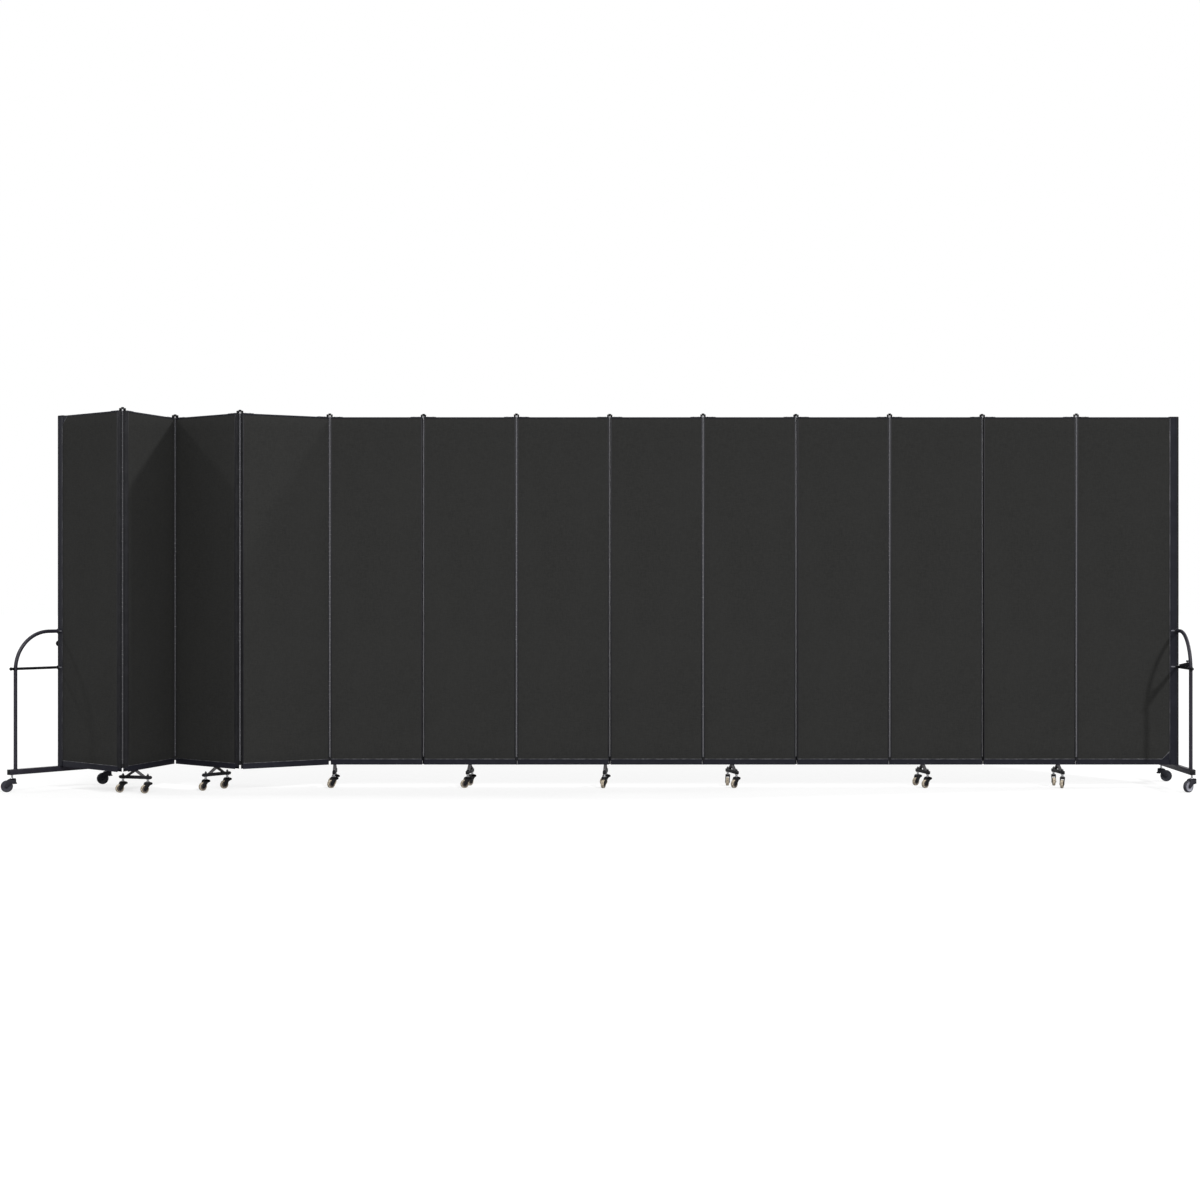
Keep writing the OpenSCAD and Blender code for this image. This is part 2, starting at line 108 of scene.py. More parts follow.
class Finish:
    """A material on one Principled shader, with its fixed values set on the shader itself."""

    def __init__(self, name, **fixed):
        self.material = bpy.data.materials.new(name)
        self.material.use_nodes = True
        self.tree = self.material.node_tree
        self.shader = self.tree.nodes["Principled BSDF"]
        for key, value in fixed.items():
            self.shader.inputs[key.replace("_", " ")].default_value = value
        self.place = self.node("TexCoord", out="Object")

    def node(self, kind, settings=None, sockets=None, out=0):
        made = self.tree.nodes.new("ShaderNode" + kind)
        for key, value in (settings or {}).items():
            setattr(made, key, value)
        for key, value in (sockets or {}).items():
            self.join(made.inputs[key], value)
        return Socket(self, made.outputs[out])

    def join(self, target, value):
        if isinstance(value, Socket):
            self.tree.links.new(value.end, target)
        else:
            target.default_value = value

    def noise(self, size, detail, stretch=(1, 1, 1)):
        """Noise from about 0 to 1 whose lumps are size metres across, drawn out by stretch."""
        where = self.node("VectorMath", {"operation": "MULTIPLY"},
                          {0: self.place, 1: [1 / s for s in stretch]})
        return self.node("TexNoise", {},
                         {"Vector": where, "Scale": 0.5 / size, "Detail": detail})

    def mix(self, share, first, second):
        """first where share is 0, second where it is 1; each a colour."""
        colours = {6: first, 7: second}
        for key, value in colours.items():
            if not isinstance(value, Socket):
                colours[key] = (*value, 1)
        return self.node("Mix", {"data_type": "RGBA"}, {0: share, **colours}, out=2)

    def bump(self, height, depth, strength):
        self.join(self.shader.inputs["Normal"],
                  self.node("Bump", {}, {"Height": height, "Distance": depth,
                                         "Strength": strength}))

    def set(self, **varying):
        for key, value in varying.items():
            self.join(self.shader.inputs[key.replace("_", " ")], value)


def weave():
    cloth = Finish("charcoal_weave", Roughness=0.95, Specular_IOR_Level=0.03)
    yarn = 0.0015
    split = {axis: cloth.node("SeparateXYZ", {}, {0: cloth.place}, out=axis) for axis in "XZ"}
    across = (split["X"] * (math.pi / yarn)).sine()
    along = (split["Z"] * (math.pi / yarn)).sine()
    over = across * along * 0.5 + 0.5
    height = over * abs(across) + (1 - over) * abs(along)
    warp = cloth.noise(0.0008, 2, stretch=(1, 1, 14))
    weft = cloth.noise(0.0008, 2, stretch=(14, 1, 1))
    fleck = over * warp + (1 - over) * weft
    cloudy = cloth.noise(0.16, 3)
    lint = cloth.noise(0.0035, 1).between(0.76, 0.82)
    base = cloth.mix(fleck.between(0.3, 0.7), (0.0250, 0.0250, 0.0243), (0.0358, 0.0358, 0.0347))
    base = cloth.mix(cloudy.between(0.35, 0.65) * 0.22, base, (0.0368, 0.0368, 0.0358))
    base = cloth.mix(lint * 0.25, base, (0.06, 0.06, 0.058))
    cloth.set(Base_Color=base)
    cloth.bump(height + fleck * 0.5, 0.0004, 0.45)
    return cloth.material


WEAVE = weave()


class Form:
    """Faces gathered for one piece, in the piece's own axes, each with its finish's number.
    Pieces of one form and the same finishes share a mesh."""

    def __init__(self):
        self.points, self.faces, self.marks = [], [], []
        self.meshes = {}

    def add(self, points, faces, mark=0, place=None):
        first = len(self.points)
        self.points += [place @ Vector(p) if place else Vector(p) for p in points]
        flip = place is not None and place.determinant() < 0
        for f in faces:
            f = [first + n for n in f]
            self.faces.append(f[::-1] if flip else f)
        self.marks += [mark] * len(faces)
        return self

    def take(self, shape, mark=0, place=None):
        """Takes over the faces of a bmesh and frees it."""
        shape.verts.index_update()
        self.add([v.co.copy() for v in shape.verts],
                 [[v.index for v in f.verts] for f in shape.faces], mark, place)
        shape.free()

    def mesh(self, name, finishes):
        """The form's mesh in these finishes, made when it is first asked for."""
        look = tuple(finish.name for finish in finishes)
        if look not in self.meshes:
            mesh = self.meshes[look] = bpy.data.meshes.new(name)
            mesh.from_pydata(self.points, [], self.faces)
            mesh.polygons.foreach_set("material_index", self.marks)
            mesh.polygons.foreach_set("use_smooth", [True] * len(self.faces))
            mesh.set_sharp_from_angle(angle=SHARP_EDGE)
            for finish in finishes:
                mesh.materials.append(finish)
        return self.meshes[look]


def show(name, form, finishes, place, body, slot, *stands_for):
    """Makes a piece from its form and sets it on its body, in place of the named nodes."""
    piece = bpy.data.objects.new(name, form.mesh(name, finishes))
    bpy.context.scene.collection.objects.link(piece)
    piece.matrix_world = place
    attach(piece, body)
    if stands_for:
        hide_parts(*stands_for)
    return piece


def shift(x, y, z):
    return Matrix.Translation((x, y, z))


def quarter(axis, count=1):
    """A turn of so many quarter circles about an axis."""
    return Matrix.Rotation(count * math.pi / 2, 4, axis)


def pivot(name):
    """Where an upright joint meets the floor."""
    x, y, _ = joints[name]["pos_m"]
    return Vector((x, y, 0.0))


def hinge_y(k):
    return HINGE_Y if k % 2 else -HINGE_Y


def panel_place(i):
    """Where panel i stands: +X along it, its middle plane at Y = 0, the floor at Z = 0."""
    k = max(i - 1, 1)
    axis = Vector((0 if i > 1 else PITCH, hinge_y(k), 0))
    heading = Matrix.Rotation(math.radians(HEADINGS[i - 1]), 4, "Z")
    return shift(*pivot(f"hinge_{k:02d}")) @ heading @ shift(*-axis)


def panel_ends(i):
    """Where a panel's two edges are along its X; at the posts it runs the whole way."""
    return (0.0 if i == 1 else EDGE_GAP), (PITCH if i == PANELS else PITCH - EDGE_GAP)


def face_cloth(left, right):
    """One face: flat in the field, with its last few millimetres rolled in behind the trim."""
    points = []
    curl_depth, ripple_height, flat_border = 0.0008, 0.00012, 0.02
    low, high = RAIL_TOP + TRIM_W - TUCK, TOP_RAIL_LOW - TRIM_W + TUCK
    left, right = left + TRIM_W - TUCK, right - TRIM_W + TUCK
    rim = [0, 0.4 * ROLL, ROLL]
    xs = [left + t for t in rim] + [left + (right - left) * n / 10 for n in range(1, 10)]
    xs += [right - t for t in rim[::-1]]
    zs = [low + t for t in rim] + [low + (high - low) * n / 32 for n in range(1, 32)]
    zs += [high - t for t in rim[::-1]]
    for z in zs:
        for x in xs:
            inside = min(x - left, right - x, z - low, high - z)
            depth = curl_depth * max(0.0, 1 - inside / ROLL) ** 2
            ripple = ripple_height * math.sin(9 * x + 3 * z) * math.sin(2.3 * z - 5 * x)
            points.append((x, -FACE_Y + depth + ripple * min(1, inside / flat_border), z))
    wide = len(xs)
    return Form().add(points, [
        [r * wide + c, r * wide + c + 1, (r + 1) * wide + c + 1, (r + 1) * wide + c]
        for r in range(len(zs) - 1) for c in range(wide - 1)])


TURN_BACK = quarter("Z", 2)
for i in range(1, PANELS + 1):
    left, right = panel_ends(i)
    for side, form, place in (
            ("front", face_cloth(left, right), panel_place(i)),
            ("back", face_cloth(-right, -left), panel_place(i) @ TURN_BACK)):
        cloth = show(f"panel_{i:02d}_cloth_{side}", form, [WEAVE], place, f"panel_{i:02d}", "panel")
        right - left
        TOP_RAIL_LOW - RAIL_TOP


# ---------------------------------------------------------------- panel frames
# Each board sits in a frame of thin folded steel: a channel along the bottom and a flat cap
# along the top in blue-black satin paint, and a narrow charcoal channel on each hinged edge.

BOARD_Y = 0.0143
RAIL_Y, RAIL_INNER_Y = 0.016, 0.0138
RAIL_HOLLOW = PANEL_LOW + 0.012


def bar(form, low, high, radius=0.001, mark=0, place=None, steps=2):
    """A block between two corners, its edges rounded by the radius where it is thick enough."""
    low, high = Vector(low), Vector(high)
    size = high - low
    shape = bmesh.new()
    bmesh.ops.create_cube(shape, size=1.0,
                          matrix=Matrix.LocRotScale((low + high) / 2, None, size))
    bmesh.ops.bevel(shape, geom=shape.edges[:], offset=min(radius, 0.45 * min(size)),
                    segments=steps, affect="EDGES", profile=0.5)
    form.take(shape, mark, place)


def plate(form, outline, near, far, mark=0, place=None, edge=0.0):
    """An outline drawn in X and Z, counter-clockwise as seen from -Y, from one Y to another.
    Its rims are rounded by edge."""
    shape = bmesh.new()
    first = shape.faces.new([shape.verts.new((x, near, z)) for x, z in outline])
    grown = bmesh.ops.extrude_face_region(shape, geom=[first])
    moved = [v for v in grown["geom"] if isinstance(v, bmesh.types.BMVert)]
    bmesh.ops.translate(shape, verts=moved, vec=(0, far - near, 0))
    shape.normal_update()
    if edge:
        rim = [e for e in shape.edges if abs(e.verts[0].co.y - e.verts[1].co.y) < 1e-7]
        bmesh.ops.bevel(shape, geom=rim, offset=edge, segments=2, affect="EDGES", profile=0.5,
                        clamp_overlap=True)
    bmesh.ops.recalc_face_normals(shape, faces=shape.faces[:])
    form.take(shape, mark, place)


# Two ways to lay a plate. Across, its outline is drawn in Y and Z and it is thick along -X.
# Upright, its outline is drawn in X and -Y and it is thick along Z.
ACROSS = quarter("Z")
UPRIGHT = Matrix(((1, 0, 0, 0), (0, 0, -1, 0), (0, 1, 0, 0), (0, 0, 0, 1)))


def painted(name, colour, wear=0.25, rough=0.42, **fixed):
    """Satin paint on steel: fine orange peel, faint smudges and a few small chips."""
    coat = Finish(name, **{"Specular_IOR_Level": 0.14, **fixed})
    peel = coat.noise(0.0009, 2)
    smudge = coat.noise(0.03, 4)
    chip = coat.noise(0.003, 3).between(0.70, 0.74) * coat.noise(0.05, 1).between(0.5, 0.65)
    lighter = tuple(c * 1.7 + 0.004 for c in colour)
    base = coat.mix(smudge.between(0.35, 0.75) * 0.4, colour, lighter)
    base = coat.mix(chip * wear, base, (0.16, 0.16, 0.17))
    coat.set(Base_Color=base, Roughness=smudge * 0.22 + rough)
    coat.bump(peel + chip * -2.0, 0.00005, 0.5)
    return coat.material


FRAME_PAINT = painted("blue_black_satin_paint", (0.0095, 0.0098, 0.0150))
CHANNEL_PAINT = painted("charcoal_channel_paint", (0.016, 0.016, 0.018))


def channel(form, x, inward):
    """An upright U of folded sheet on a panel's edge at x, its web outwards."""
    wall, lip = 0.0012, 0.0065
    outline = [(x, RAIL_Y), (x, -RAIL_Y), (x + inward * lip, -RAIL_Y),
               (x + inward * lip, wall - RAIL_Y), (x + inward * wall, wall - RAIL_Y),
               (x + inward * wall, RAIL_Y - wall), (x + inward * lip, RAIL_Y - wall),
               (x + inward * lip, RAIL_Y)]
    plate(form, outline[::inward], RAIL_TOP - 0.002, TOP_RAIL_LOW + 0.001, 1, UPRIGHT, edge=0.0003)


rail_half = [(RAIL_INNER_Y, RAIL_HOLLOW), (RAIL_INNER_Y, PANEL_LOW), (RAIL_Y, PANEL_LOW),
             (RAIL_Y, RAIL_TOP - 0.0005)]
bottom_rail = rail_half + [(-y, z) for y, z in rail_half[::-1]]
for i in range(1, PANELS + 1):
    left, right = panel_ends(i)
    form = Form()
    bar(form, (left + 0.0015, -BOARD_Y, RAIL_HOLLOW),
        (right - 0.0015, BOARD_Y, PANEL_TOP - 0.002))
    plate(form, bottom_rail, -right, -left, 0, ACROSS, edge=0.0006)
    bar(form, (left, -RAIL_Y, TOP_RAIL_LOW), (right, RAIL_Y, PANEL_TOP), 0.0012)
    if i > 1:
        channel(form, left, 1)
    if i < PANELS:
        channel(form, right, -1)
    show(f"panel_{i:02d}_frame", form, [FRAME_PAINT, CHANNEL_PAINT], panel_place(i),
         f"panel_{i:02d}", "panel", f"panel_{i:02d}")


# ---------------------------------------------------------------- edge trim
# A thin bead holds the cloth down along every side of a face. It is painted with the frame at the
# top and the hinges; along the bottom rail and the corner slants it is grey metal, rubbed in
# places, and its pale tone there is a painted highlight along the lip's edge.

def pale_trim_painted_highlight():
    # The pale grey and its paler rubbed patches are partly a painted highlight along the lip's
    # edge; the dark dirt is the bead's own
    bead = Finish("grey_trim_painted_highlight", Metallic=0.35, Specular_IOR_Level=0.4)
    rub_and_highlight = bead.noise(0.012, 3, stretch=(1, 1, 3))
    dirt = bead.noise(0.002, 2)
    base = bead.mix(rub_and_highlight.between(0.38, 0.68), (0.055, 0.055, 0.060), (0.15, 0.15, 0.16))
    base = bead.mix(dirt.between(0.55, 0.8) * 0.5, base, (0.03, 0.03, 0.033))
    bead.set(Base_Color=base, Roughness=0.62 - rub_and_highlight * 0.2)
    bead.bump(dirt, 0.00008, 0.4)
    return bead.material


TRIM = pale_trim_painted_highlight()
BEAD_R = 0.0005
GUSSET = 0.046        # the legs of the corner plates

low, high = RAIL_TOP - 0.0006, TOP_RAIL_LOW + 0.0004
for i in range(1, PANELS + 1):
    left, right = panel_ends(i)
    form = Form()
    for side in (-1, 1):
        near, far = sorted((side * 0.0148, side * 0.0161))
        x_low = right - GUSSET if i == PANELS else right
        x_high = left + GUSSET if i == 1 else left
        bar(form, (left, near, low), (x_low, far, low + TRIM_W), BEAD_R)
        bar(form, (x_high, near, high - TRIM_W * 0.7), (right, far, high), BEAD_R, 1)
        z_left = high - GUSSET if i == 1 else high
        z_right = low + GUSSET if i == PANELS else low
        bar(form, (left, near, low), (left + TRIM_W, far, z_left), BEAD_R, 1)
        bar(form, (right - TRIM_W, near, z_right), (right, far, high), BEAD_R, 1)
        if i in (1, PANELS):
            corner = ((left + GUSSET / 2, 0, high - GUSSET / 2) if i == 1
                      else (right - GUSSET / 2, 0, low + GUSSET / 2))
            slant = shift(*corner) @ quarter("Y", -0.5)
            half = GUSSET * 0.72
            bar(form, (-half, near, -TRIM_W / 2), (half, far, TRIM_W / 2), BEAD_R, 0, slant)
    show(f"panel_{i:02d}_trim", form, [TRIM, CHANNEL_PAINT], panel_place(i), f"panel_{i:02d}",
         "panel")

# The corner plates that stiffen the two outer panels, one high up and one low down
for i, x, z, run in ((1, 0.0, TOP_RAIL_LOW, 1), (PANELS, PITCH, RAIL_TOP, -1)):
    form = Form()
    outline = [(x, z - run * GUSSET), (x + run * GUSSET, z), (x, z)]
    for side in (-1, 1):
        near, far = sorted((side * 0.0146, side * 0.0158))
        plate(form, outline, near, far, edge=0.0003)
    show(f"panel_{i:02d}_corner_plate", form, [FRAME_PAINT], panel_place(i),
         f"panel_{i:02d}", "panel")


# ---------------------------------------------------------------- hinges
# A full-height piano hinge joins each pair of panels, on the back and the front in turn. Its
# knuckles are an inch long, its leaves screw to the panel edges, and a steel bracket with a
# lug stands on the top rail each side of its capped end.

KNUCKLES = 82
HINGE_LOW = 0.156
KNUCKLE = (PANEL_TOP - HINGE_LOW) / KNUCKLES
BARREL_R, PIN_R = 0.0049, 0.0019
LUG_TOP, LUG_R = 2.2510, 0.004      # where the lug's sides end, and the rounding above
SCREWS, SCREW_LOW, SCREW_STEP = 12, 0.22, 0.178


def turn(form, profile, mark=0, place=None, sides=24):
    """Turns a profile of (radius, height) about Z. Zero radii close into one point."""
    points, faces, rings = [], [], []
    for radius, z in profile:
        if radius < 1e-9:
            rings.append([len(points)] * sides)
            points.append((0, 0, z))
        else:
            rings.append([len(points) + n for n in range(sides)])
            points += [(radius * math.cos(2 * math.pi * n / sides),
                        radius * math.sin(2 * math.pi * n / sides), z) for n in range(sides)]
    for lower, upper in zip(rings, rings[1:]):
        for n in range(sides):
            m = (n + 1) % sides
            face = [lower[n], lower[m], upper[m], upper[n]]
            faces.append(list(dict.fromkeys(face)))
    form.add(points, faces, mark, place)


def arc(x, z, radius, start, stop, step):
    """Points on a circle from one angle to another in degrees, counted from +X towards +Z."""
    way = 1 if stop > start else -1
    return [(x + radius * math.cos(math.radians(d)), z + radius * math.sin(math.radians(d)))
            for d in range(start, stop + way, way * step)]


def steel(name, colour, rough, metallic, grain=(1, 1, 1)):
    """Bare or plated steel with drawn grain and dull spots."""
    metal = Finish(name, Metallic=metallic, Specular_IOR_Level=0.5)
    lines = metal.noise(0.0006, 3, stretch=grain)
    spots = metal.noise(0.008, 4)
    dull = tuple(c * 0.55 for c in colour)
    metal.set(Base_Color=metal.mix(spots.between(0.45, 0.8) * 0.6, colour, dull),
              Roughness=lines * 0.2 + spots * 0.15 + (rough - 0.17))
    metal.bump(lines, 0.00004, 0.35)
    return metal.material


# Hinge steels. The dark one on the first two barrels is painted shade; the pale one is partly
# painted light, lifting the back barrels out of the shade of their recess
DULL_HINGE = steel("dull_zinc_hinge", (0.11, 0.11, 0.12), 0.55, 0.3, (1, 1, 20))
SHADED_HINGE = steel("dark_hinge_painted_shade", (0.060, 0.060, 0.066), 0.55, 0.3, (1, 1, 20))
PALE_ZINC_AND_PAINTED_LIGHT = steel("pale_zinc_and_painted_light_hinge", (0.40, 0.40, 0.42), 0.45, 0.3, (1, 1, 20))
BRIGHT_STEEL = steel("bright_plated_steel", (0.62, 0.62, 0.64), 0.22, 1.0)


def moulded(name, colour, rough, shine=0.16):
    """Moulded plastic with a fine spark-eroded texture."""
    plastic = Finish(name, Specular_IOR_Level=shine)
    pores = plastic.noise(0.0006, 2)
    haze = plastic.noise(0.015, 3)
    paler = tuple(c * 1.6 + 0.003 for c in colour)
    plastic.set(Base_Color=plastic.mix(haze.between(0.4, 0.75) * 0.5, colour, paler),
                Roughness=haze * 0.2 + (rough - 0.1))
    plastic.bump(pores, 0.00006, 0.5)
    return plastic.material


BLACK_PLASTIC = moulded("black_moulded_plastic", (0.007, 0.007, 0.008), 0.6)


def hinge_half(first, side):
    """The half whose panel lies towards +X of the axis, on its Y side. Finishes: knuckles,
    bracket, screws, and the leaf with the lowest knuckle."""
    form = Form()
    bore = 0.0022
    for n in range(first, KNUCKLES, 2):
        low = HINGE_LOW + n * KNUCKLE + 0.0003
        high = low + KNUCKLE - 0.0006
        turn(form, [(bore, low), (BARREL_R - 0.0005, low), (BARREL_R, low + 0.0005),
                    (BARREL_R, high - 0.0005), (BARREL_R - 0.0005, high), (bore, high)],
             0 if n > 0 else 3, sides=14)
        web = sorted((side * 0.0012, side * 0.0028))
        corners = [(x, y, z) for z in (low, high) for y in web
                   for x in (0.0035, EDGE_GAP - 0.0004)]
        form.add(corners, [[0, 1, 5, 4], [3, 2, 6, 7], [0, 2, 3, 1], [4, 5, 7, 6]], 3)
    leaf_x = EDGE_GAP - 0.0013
    near, far = sorted((side * 0.0012, side * 0.0255))
    bar(form, (leaf_x, near, HINGE_LOW), (EDGE_GAP, far, PANEL_TOP - 0.001), 0.0004, 3)
    middle = side * HINGE_Y
    for n in range(SCREWS):
        turn(form, [(0.0032, 0), (0.0030, 0.0006), (0.0018, 0.0011), (0.0008, 0.0011),
                    (0.0006, 0.0005), (0, 0.0005)], 2,
             shift(leaf_x, middle, SCREW_LOW + n * SCREW_STEP) @ quarter("Y", -1), 10)
    # Bracket: a plate along the top rail that turns up into a lug beside the barrel
    plate_top = PANEL_TOP + 0.0025
    bar(form, (0.006, middle - 0.012, PANEL_TOP), (0.076, middle + 0.012, plate_top), 0.0008, 1)
    near, far = sorted((side * 0.0008, side * 0.0138))
    lug = [(near, PANEL_TOP + 0.0005), (far, PANEL_TOP + 0.0005), (far, LUG_TOP)]
    lug += arc(far - LUG_R, LUG_TOP, LUG_R, 30, 90, 30)
    lug += arc(near + LUG_R, LUG_TOP, LUG_R, 90, 180, 30)
    plate(form, lug, -0.016, -0.006, 1, ACROSS, edge=0.0008)
    for x in (0.026, 0.058):
        turn(form, [(0.0042, 0), (0.0040, 0.0009), (0.0026, 0.0017), (0.0011, 0.0017),
                    (0.0008, 0.0008), (0, 0.0008)], 2, shift(x, middle, plate_top), 12)
    return form


def hinge_pin(with_sleeve):
    """The pin, the bare end of the barrel, the cap over it and the sleeve that fills the
    barrel's line down to the foot of the bottom rail. Finishes: pin and end, cap, sleeve."""
    form = Form()
    turn(form, [(0, HINGE_LOW - 0.001), (PIN_R, HINGE_LOW), (PIN_R, PANEL_TOP)], 0, sides=12)
    turn(form, [(PIN_R, PANEL_TOP), (0.005, PANEL_TOP + 0.0002), (0.005, 2.2500)], 0)
    turn(form, [(0.0050, 2.2480), (0.0056, 2.2480), (0.0057, 2.2484), (0.0057, 2.2553),
                (0.0087, 2.2553), (0.0090, 2.2557), (0.0090, 2.2580), (0.0080, 2.2595),
                (0.0056, 2.2603), (0, 2.2605)], 1, sides=28)
    if with_sleeve:
        turn(form, [(PIN_R, PANEL_LOW), (0.0045, PANEL_LOW), (0.0050, PANEL_LOW + 0.0005),
                    (0.0050, HINGE_LOW), (PIN_R, HINGE_LOW)], 2, sides=20)
    return form


BRACKET_PAINT = painted("black_bracket_paint", (0.005, 0.005, 0.006))
CAP_PLASTIC = moulded("black_cap_plastic", (0.006, 0.006, 0.007), 0.75, 0.05)
halves = {(word, side): hinge_half(first, side)
          for word, first in (("near", 0), ("far", 1)) for side in (-1, 1)}
for side in (-1, 1):
    # Mirrored in the mesh itself, so that the piece is not a mirrored object
    near_half = halves["near", side]
    near_half.points = [Vector((-p.x, p.y, p.z)) for p in near_half.points]
    near_half.faces = [f[::-1] for f in near_half.faces]
plain_pin, sleeved_pin = hinge_pin(False), hinge_pin(True)
for k in range(1, PANELS):
    side = -1 if hinge_y(k) > 0 else 1
    # The first two barrels are darkened as painted shade, and the straight run's back barrels are
    # pale, painted light against the shade of their recess
    barrel = SHADED_HINGE if k < 3 else PALE_ZINC_AND_PAINTED_LIGHT if side < 0 and k > ANGLED else DULL_HINGE
    near_place = panel_place(k) @ shift(PITCH, hinge_y(k), 0)
    far_place = panel_place(k + 1) @ shift(0, hinge_y(k), 0)
    for word, place, body in (("near", near_place, k), ("far", far_place, k + 1)):
        show(f"hinge_{k:02d}_{word}_leaf", halves[word, side],
             [barrel, BRACKET_PAINT, BRACKET_PAINT, CHANNEL_PAINT], place,
             f"panel_{body:02d}", "panel")
    # The straight run's hinges have the sleeve. The first three pin ends are bright plated steel, a
    # painted glint; the others are pale zinc
    show(f"hinge_{k:02d}_pin", sleeved_pin if k > ANGLED else plain_pin,
         [BRIGHT_STEEL if k < 4 else PALE_ZINC_AND_PAINTED_LIGHT, CAP_PLASTIC, FRAME_PAINT], near_place,
         f"panel_{k:02d}", "panel")


# ---------------------------------------------------------------- end posts
# A rolled steel post closes each end of the run: a black strip round its outer edge, painted shade
# where the rounded corner turns from the light, a shallow groove on both faces, a lip that grips
# the cloth and a plastic cap on top. The left post also has a rubber buffer stud that stops it
# against a wall.

POST_W, SHADED_EDGE_X = 0.057, 0.044


def post_form():
    """The post for panel 13, from its inner edge outwards along +X."""
    form = Form()
    half = [(0, 0.0165), (0.009, 0.0170), (0.012, 0.0170), (0.0126, 0.0161), (0.0354, 0.0161),
            (0.036, 0.0170), (SHADED_EDGE_X, 0.0170)] + arc(POST_W - 0.010, 0.007, 0.010, 90, 0, 15)
    plate(form, [(x, -y) for x, y in half] + half[::-1], PANEL_LOW, PANEL_TOP - 0.0005, 0, UPRIGHT)
    # The faces past the strip's inner edge are the black strip, painted shade on the post's outer
    # corner
    form.marks = [2 if min(form.points[n].x for n in face) > SHADED_EDGE_X - 0.0001 else 0
                  for face in form.faces]
    for side in (-1, 1):
        near, far = sorted((side * 0.0160, side * 0.0182))
        bar(form, (0.0004, near, PANEL_LOW + 0.0005), (0.0088, far, PANEL_TOP - 0.001), 0.0008)
        # The lip is in the pale trim, a painted highlight down the post's edge
        near, far = sorted((side * 0.0176, side * 0.01825))
        bar(form, (0.0, near, PANEL_LOW + 0.030), (0.0028, far, PANEL_TOP - 0.009), 0.0004, 1)
    cap = [(0.0004, -0.0166), (0.047, -0.0166)] + arc(0.0465, -0.0066, 0.010, -90, 0, 15)
    plate(form, cap + [(x, -y) for x, y in cap[::-1]], PANEL_TOP - 0.0002, PANEL_TOP + 0.003, 2,
          UPRIGHT, edge=0.001)
    return form


STUD_Z = 0.870
post_finishes = [FRAME_PAINT, TRIM, BLACK_PLASTIC]
show("end_post_right", post_form(), post_finishes, panel_place(PANELS) @ shift(PITCH, 0, 0),
     "panel_13", "frame_tube")
left_post_place = panel_place(1) @ TURN_BACK
show("end_post_left", post_form(), post_finishes, left_post_place, "panel_01", "frame_tube")
stud = Form()
turn(stud, [(0.0120, -0.001), (0.0120, 0.0078), (0.0162, 0.0081), (0.0170, 0.0092),
            (0.0170, 0.0136), (0.0158, 0.0160), (0.0120, 0.0176), (0, 0.0180)], 0,
     quarter("Y"), 32)
show("end_post_left_stud", stud, [BLACK_PLASTIC], left_post_place @ shift(POST_W, 0, STUD_Z),
     "panel_01", "frame_tube")


# ---------------------------------------------------------------- end frames
# A round tube bent into an arch stands on a square base bar, welded at both feet. A rod with
# ball ends crosses it, and collars clamp arch and rod to the end post.

LEG_Y, ARCH_Z, BEND_R, TUBE_R = 0.310, 0.945, 0.225, 0.011
CROSSBAR_Z, CROSSBAR_R = 0.727, 0.008
BASE_W, BASE_L, BASE_TOP = 0.032, 0.714, 0.134


def sweep(form, path, radius, sides):
    """A round tube along points that all lie in one upright plane X = 0, closed at its ends."""
    points, faces = [], []
    side = Vector((1, 0, 0))
    path = [Vector(p) for p in path]
    for n, p in enumerate(path):
        ahead = (path[min(n + 1, len(path) - 1)] - path[max(n - 1, 0)]).normalized()
        up = ahead.cross(side)
        for m in range(sides):
            a = 2 * math.pi * m / sides
            points.append(p + radius * (math.cos(a) * side + math.sin(a) * up))
    for n in range(len(path) - 1):
        for m in range(sides):
            k = (m + 1) % sides
            faces.append([n * sides + m, n * sides + k, (n + 1) * sides + k, (n + 1) * sides + m])
    faces.append(list(range(sides))[::-1])
    faces.append([(len(path) - 1) * sides + m for m in range(sides)])
    form.add(points, faces)


def weld(form, radius, thick, place):
    """A ring of weld round a tube's foot."""
    turn(form, [(radius + thick, 0), (radius + thick * 0.85, thick * 0.35),
                (radius + thick * 0.45, thick * 0.75), (radius, thick)], 0, place)


arch_form = Form()
half_arch = [(LEG_Y, BASE_TOP - 0.001), (LEG_Y, 0.30), (LEG_Y, ARCH_Z - BEND_R)]
half_arch += arc(LEG_Y - BEND_R, ARCH_Z - BEND_R, BEND_R, 5, 90, 5)
sweep(arch_form, [(0, y, z) for y, z in half_arch] + [(0, -y, z) for y, z in half_arch[::-1]],
      TUBE_R, sides=24)
for way in (-1, 1):
    weld(arch_form, TUBE_R - 0.0002, 0.003, shift(0, way * LEG_Y, BASE_TOP))

base_form = Form()
end = BASE_L / 2 - 0.002
bar(base_form, (-BASE_W / 2, -end, BASE_TOP - BASE_W), (BASE_W / 2, end, BASE_TOP), 0.0026, steps=3)
for way in (-1, 1):
    near, far = sorted((way * (end - 0.001), way * (end + 0.002)))
    bar(base_form, (-BASE_W / 2 + 0.0005, near, BASE_TOP + 0.0005 - BASE_W),
        (BASE_W / 2 - 0.0005, far, BASE_TOP - 0.0005), 0.0012, 1)

ALONG_Y = quarter("X", -1)           # for turn: what is drawn along Z runs along Y
rod_form = Form()
rod = LEG_Y + 0.030
half_rod = [(CROSSBAR_R, 0), (CROSSBAR_R, rod - 0.006)] + arc(0, rod, 0.010, -30, 90, 15)
full_rod = [(r, -z) for r, z in half_rod[:0:-1]] + half_rod
turn(rod_form, full_rod, 0, shift(0, 0, CROSSBAR_Z) @ ALONG_Y)

